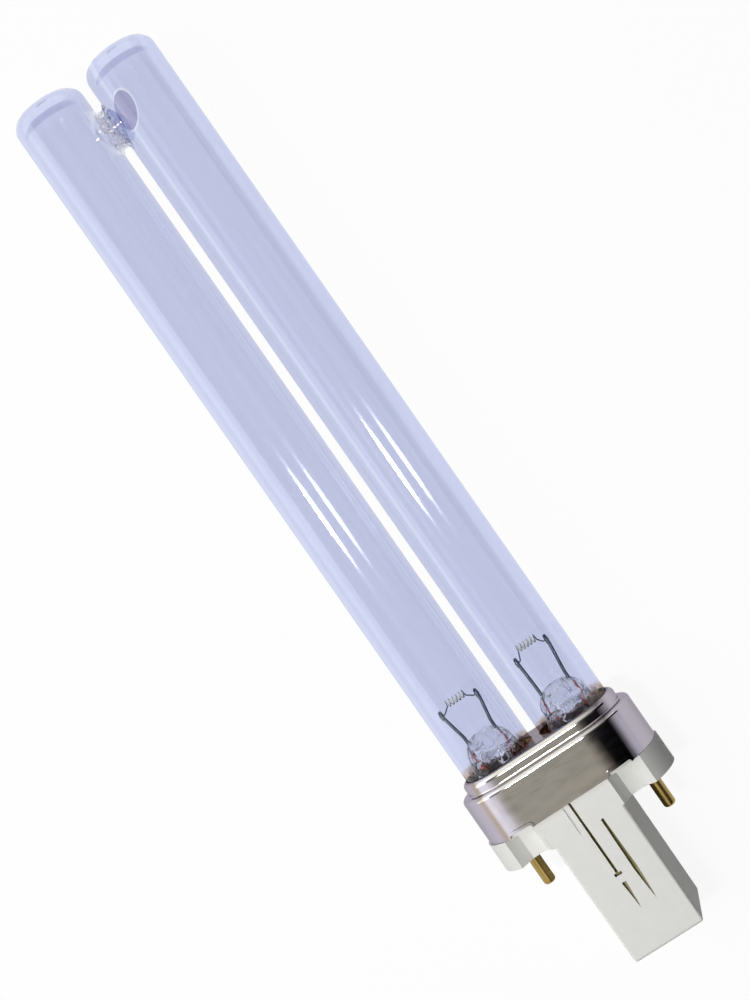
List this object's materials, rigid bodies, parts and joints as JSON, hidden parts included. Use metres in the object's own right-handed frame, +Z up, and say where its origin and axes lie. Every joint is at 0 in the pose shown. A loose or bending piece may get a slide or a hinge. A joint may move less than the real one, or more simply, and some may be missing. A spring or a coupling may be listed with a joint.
{
  "type": "uv-c lamp",
  "caption": "Slim clear glass germicidal lamp: parallel limbs joined by a bridge near the tips, wire electrode mounts, a plated collar and a moulded plug-in cap with brass pins.",
  "frame": {"origin": "middle of the pin plane, the face of the cap that the pins stand on, on the lamp's axis", "axes": "+X along the line of the pins, to the right; +Y along the lamp towards the tips; +Z up, out of the broad front face, as the lamp lies on its back"},
  "size_m": [0.0322, 0.1646, 0.018],
  "materials": {
    "limb_glass": null,
    "stem_glass": "clear glass",
    "support_nickel": "dull nickel-plated wire",
    "seal_copper": "copper-clad wire, red through the glass",
    "lead_copper": "bare copper wire",
    "filament_tungsten": "coil with a pale coating",
    "shell_nickel": "bright nickel plate, slightly warm",
    "cement": "brown basing cement",
    "cap_plastic": "off-white satin moulding",
    "pin_brass": "dull drawn brass",
    "starter_glass": "clear glass",
    "starter_metal": "tinned wire and strip",
    "capacitor_coat": "dipped coat"
  },
  "bodies": {
    "root": {"glass_envelope": "limb_glass", "left_stem": "stem_glass", "right_stem": "stem_glass", "left_outer_support": "support_nickel", "left_inner_support": "support_nickel", "right_inner_support": "support_nickel", "right_outer_support": "support_nickel", "left_outer_seal_wire": "seal_copper", "left_inner_seal_wire": "seal_copper", "right_inner_seal_wire": "seal_copper", "right_outer_seal_wire": "seal_copper", "left_pin_lead": "lead_copper", "right_pin_lead": "lead_copper", "left_starter_lead": "lead_copper", "right_starter_lead": "lead_copper", "left_filament": "filament_tungsten", "right_filament": "filament_tungsten", "metal_shell": "shell_nickel", "basing_cement": "cement", "cap_housing": "cap_plastic", "left_pin": "pin_brass", "right_pin": "pin_brass", "starter_bulb": "starter_glass", "starter_post_electrode": "starter_metal", "starter_bimetal": "starter_metal", "capacitor_left_lead": "starter_metal", "capacitor_right_lead": "starter_metal", "suppression_capacitor": "capacitor_coat"}
  },
  "joints": []
}
